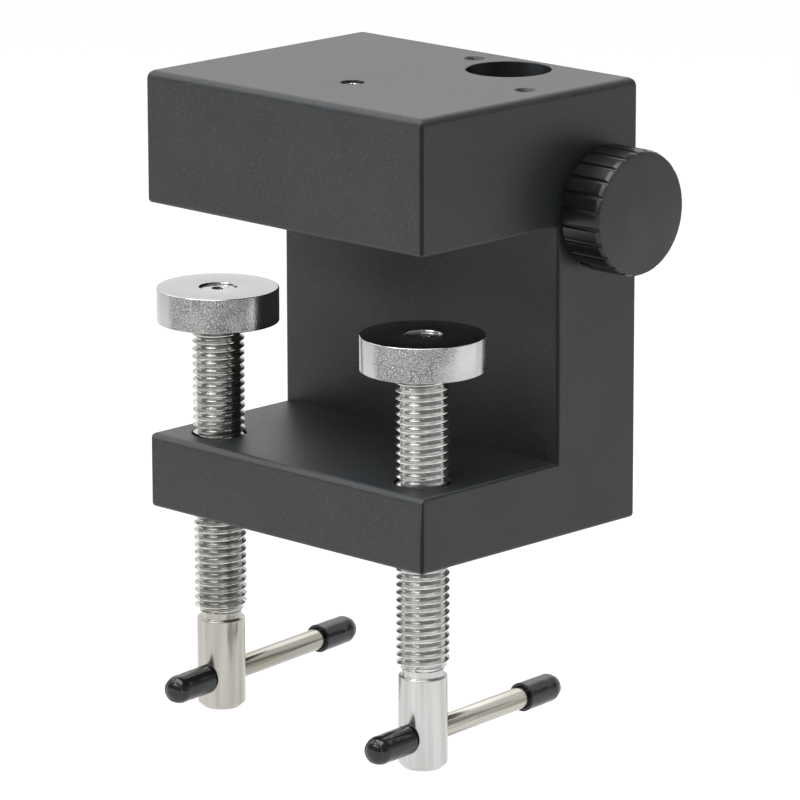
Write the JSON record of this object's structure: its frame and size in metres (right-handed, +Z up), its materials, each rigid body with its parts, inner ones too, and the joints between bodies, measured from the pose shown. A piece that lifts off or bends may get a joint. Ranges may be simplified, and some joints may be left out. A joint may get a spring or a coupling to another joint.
{
  "type": "table clamp of an articulating microscope arm",
  "caption": "C-shaped table clamp for an articulating arm, with swivelling pads on screws with tommy bars, a post bore and a locking knob.",
  "frame": {"origin": "centre of the upper jaw's flat underside, the face that rests on the table top", "axes": "+Z up out of the table, -Y out of the clamp's mouth, +X towards the locking knob"},
  "size_m": [0.101, 0.0765, 0.1477],
  "materials": {
    "black_powder_coat": "fine-textured black powder coat over aluminium",
    "nickel_plate": "bright nickel plate",
    "satin_steel": "satin turned steel",
    "black_vinyl": "glossy dipped vinyl",
    "black_plastic": "satin moulded plastic",
    "brass": "turned brass"
  },
  "bodies": {
    "frame": {"clamp_body": "black_powder_coat", "jaw_set_screw": "satin_steel"},
    "left_pad": {"pad_left": "nickel_plate"},
    "left_screw": {"clamp_screw_left": "satin_steel", "pad_screw_left": "satin_steel"},
    "left_bar": {"tommy_bar_left": "nickel_plate", "bar_cap_left_front": "black_vinyl", "bar_cap_left_rear": "black_vinyl"},
    "right_pad": {"pad_right": "nickel_plate"},
    "right_screw": {"clamp_screw_right": "satin_steel", "pad_screw_right": "satin_steel"},
    "right_bar": {"tommy_bar_right": "nickel_plate", "bar_cap_right_front": "black_vinyl", "bar_cap_right_rear": "black_vinyl"},
    "lock_tip": {"lock_tip": "brass"},
    "knob": {"locking_knob": "black_plastic", "knob_stud": "satin_steel"}
  },
  "joints": [
    {"name": "left_pad_travel", "type": "slide", "parent": "frame", "child": "left_pad", "axis": [0, 0, 1], "range_m": [-0.0257, 0.0193]},
    {"name": "left_screw_turn", "type": "hinge", "parent": "left_pad", "child": "left_screw", "pos_m": [-0.0318, -0.0102, -0.0194], "axis": [0, 0, 1], "range_deg": [-5280, 3960]},
    {"name": "left_bar_slide", "type": "slide", "parent": "left_screw", "child": "left_bar", "axis": [0.1219, -0.9925, 0], "range_m": [0, 0.0296]},
    {"name": "right_pad_travel", "type": "slide", "parent": "frame", "child": "right_pad", "axis": [0, 0, 1], "range_m": [-0.025, 0.02]},
    {"name": "right_screw_turn", "type": "hinge", "parent": "right_pad", "child": "right_screw", "pos_m": [0.0318, -0.0102, -0.0201], "axis": [0, 0, 1], "range_deg": [-5140, 4110]},
    {"name": "right_bar_slide", "type": "slide", "parent": "right_screw", "child": "right_bar", "axis": [0.0958, -0.9954, 0], "range_m": [0, 0.0296]},
    {"name": "lock_tip_travel", "type": "slide", "parent": "frame", "child": "lock_tip", "axis": [1, 0, 0], "range_m": [-0.0008, 0.009]},
    {"name": "knob_turn", "type": "hinge", "parent": "lock_tip", "child": "knob", "pos_m": [0.0425, 0.03425, 0.0031], "axis": [1, 0, 0], "range_deg": [-229, 2590]}
  ],
  "couplings": [
    {"joint": "left_pad_travel", "follows": "left_screw_turn", "m_per_rad": 0.00027852},
    {"joint": "right_pad_travel", "follows": "right_screw_turn", "m_per_rad": 0.00027852},
    {"joint": "lock_tip_travel", "follows": "knob_turn", "m_per_rad": 0.00019894}
  ]
}
